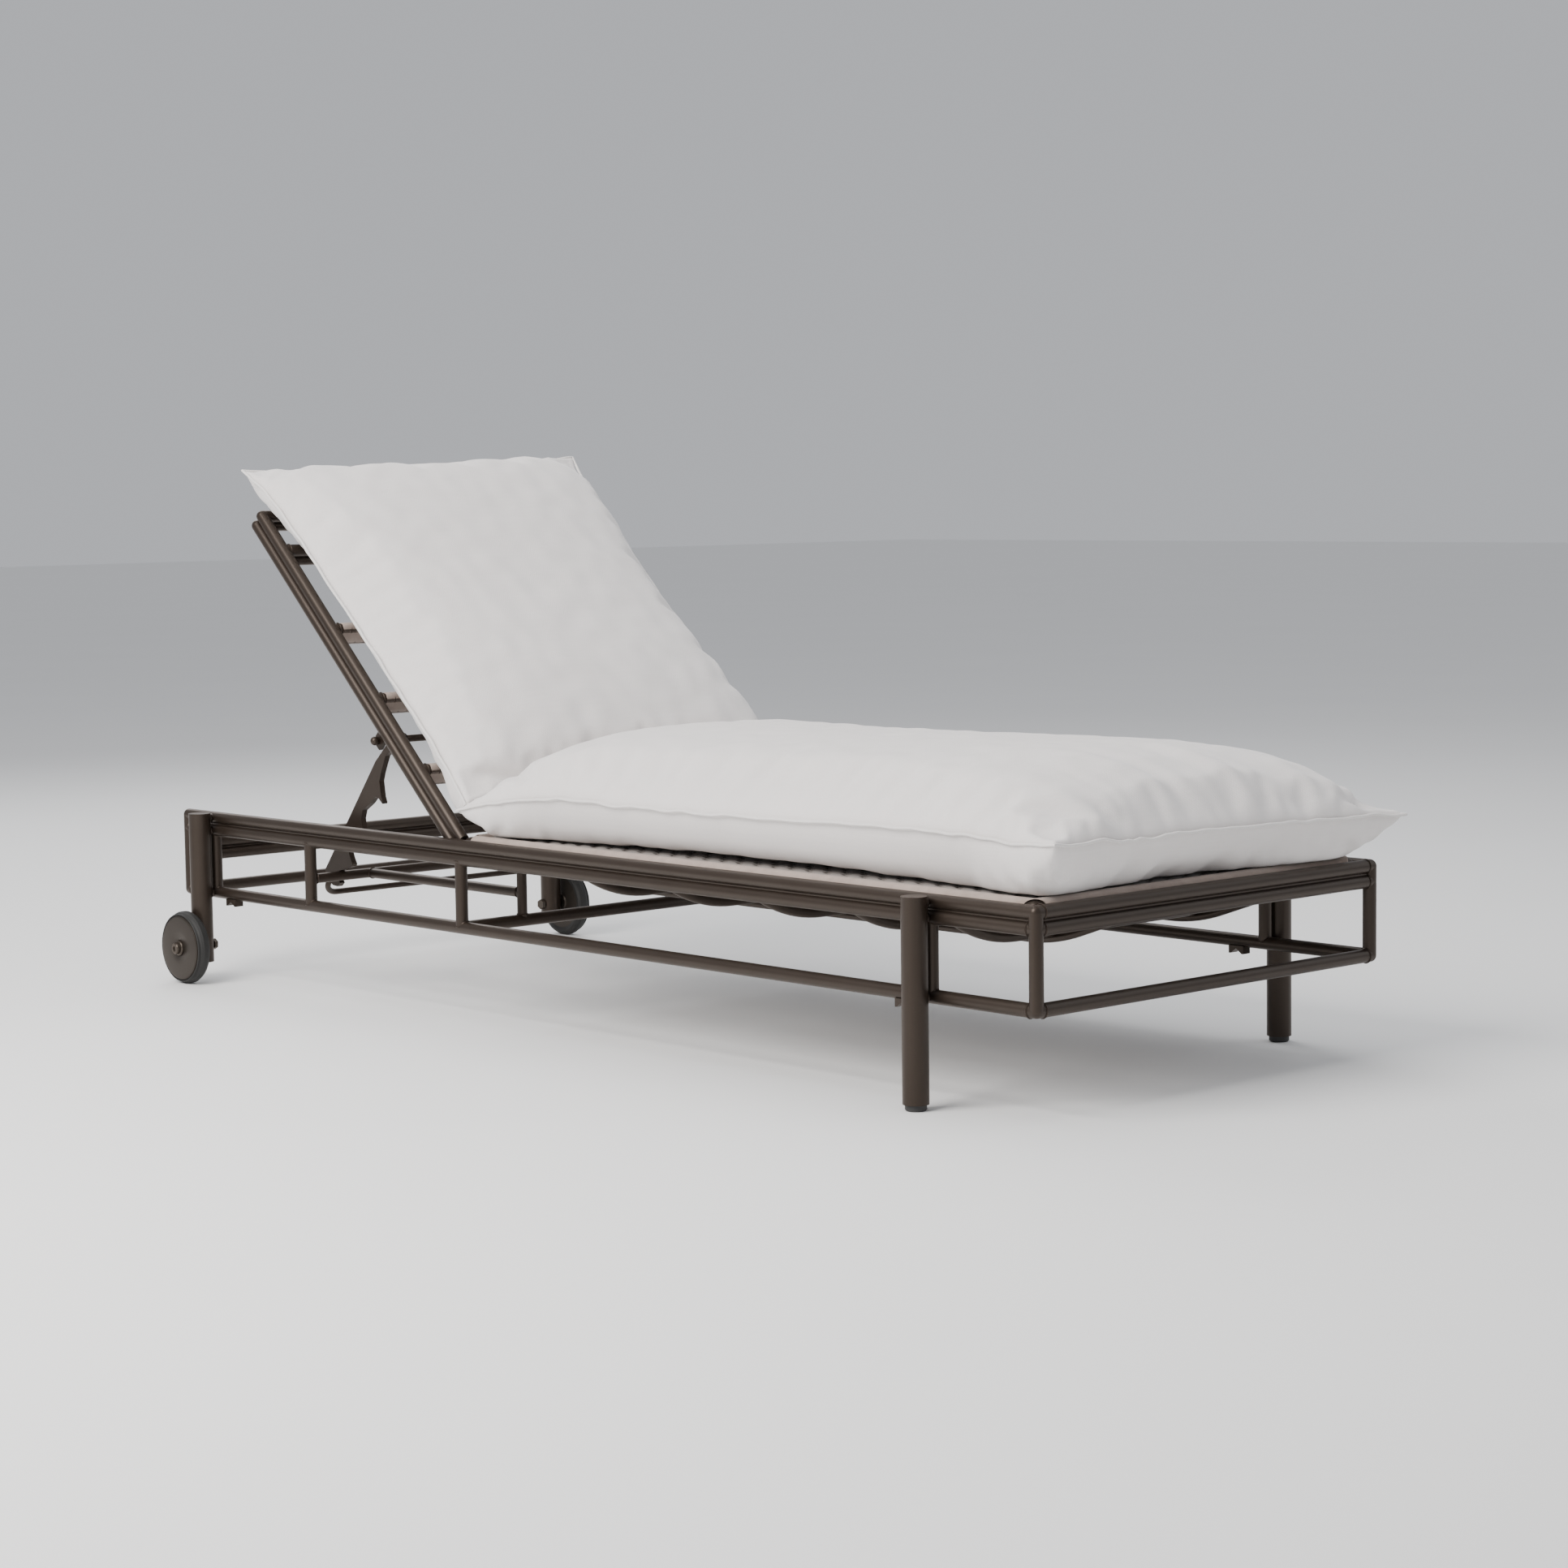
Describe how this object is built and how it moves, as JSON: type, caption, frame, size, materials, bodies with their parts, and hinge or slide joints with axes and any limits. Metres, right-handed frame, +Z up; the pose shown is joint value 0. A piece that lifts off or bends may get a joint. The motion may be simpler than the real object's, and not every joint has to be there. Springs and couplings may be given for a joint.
{
  "type": "sun lounger",
  "caption": "Tubular metal sun lounger with a rope deck, two wheels, a hinged back held by notched arms, and loose seat and back cushions.",
  "frame": {"origin": "centre of the whole outline on the floor, with the back raised", "axes": "+Z up, +Y towards the head end, +X to the right of someone lying on it"},
  "size_m": [0.882, 2.1, 0.9197],
  "materials": {
    "frame": "satin dark bronze powder coat",
    "rope": "taupe woven polyester rope",
    "canvas": "off-white outdoor canvas",
    "plastic": "black moulded plastic",
    "rubber": "black rubber",
    "tyre": "charcoal rubber",
    "wheel": "satin dark bronze",
    "bolt": "satin dark bronze bolt head and washer"
  },
  "bodies": {
    "frame": {"upper_rail_left": "frame", "upper_rail_right": "frame", "lower_rail_left": "frame", "lower_rail_right": "frame", "foot_rails": "frame", "head_rails": "frame", "stretcher_left": "frame", "stretcher_right": "frame", "foot_stretcher": "frame", "head_stretcher": "frame", "cross_stretcher": "frame", "support_tube": "frame", "corner_posts": "frame", "leg_front_left": "frame", "leg_front_right": "frame", "leg_rear_left": "frame", "leg_rear_right": "frame", "side_posts_left": "frame", "side_posts_right": "frame", "inner_posts": "frame", "guide_tubes": "frame", "foot_glides": "plastic", "leg_plugs": "plastic", "axle_bolts": "bolt", "stacking_saddles": "frame", "deck_tube_left": "frame", "deck_tube_right": "frame", "deck_tube_foot": "frame", "deck_tube_head": "frame", "seat_bows": "frame", "seat_runners": "frame", "seat_weave": "rope", "rope_wrap_left": "rope", "rope_wrap_right": "rope", "rope_wrap_foot": "rope", "rope_wrap_head": "rope", "hinge_bracket_left": "frame", "hinge_bracket_right": "frame", "head_bumpers": "rubber", "seat_cushion": "canvas"},
    "backrest": {"back_side_left": "frame", "back_side_right": "frame", "back_top_tubes": "frame", "back_upper_tubes": "frame", "back_slat_1": "frame", "back_slat_2": "frame", "back_slat_3": "frame", "slat_wrap_1": "rope", "slat_wrap_2": "rope", "slat_wrap_3": "rope", "arm_rod": "frame", "back_cushion": "canvas"},
    "arms": {"arm_left": "frame", "arm_right": "frame", "arm_bail": "frame"},
    "wheel_left": {"wheel_left": "wheel", "tyre_left": "tyre"},
    "wheel_right": {"wheel_right": "wheel", "tyre_right": "tyre"}
  },
  "joints": [
    {"name": "recline", "type": "hinge", "parent": "frame", "child": "backrest", "pos_m": [0, 0.2785, 0.272], "axis": [1, 0, 0], "range_deg": [-43.4, 0]},
    {"name": "arm_swing", "type": "hinge", "parent": "backrest", "child": "arms", "pos_m": [0, 0.50591, 0.43613], "axis": [1, 0, 0], "range_deg": [0, 88]},
    {"name": "wheel_left_spin", "type": "hinge", "parent": "frame", "child": "wheel_left", "pos_m": [-0.4195, 0.958, 0.0625], "axis": [1, 0, 0], "continuous": true},
    {"name": "wheel_right_spin", "type": "hinge", "parent": "frame", "child": "wheel_right", "pos_m": [0.4195, 0.958, 0.0625], "axis": [1, 0, 0], "continuous": true}
  ],
  "couplings": [
    {"joint": "arm_swing", "follows": "recline", "ratio": -2.0093}
  ]
}
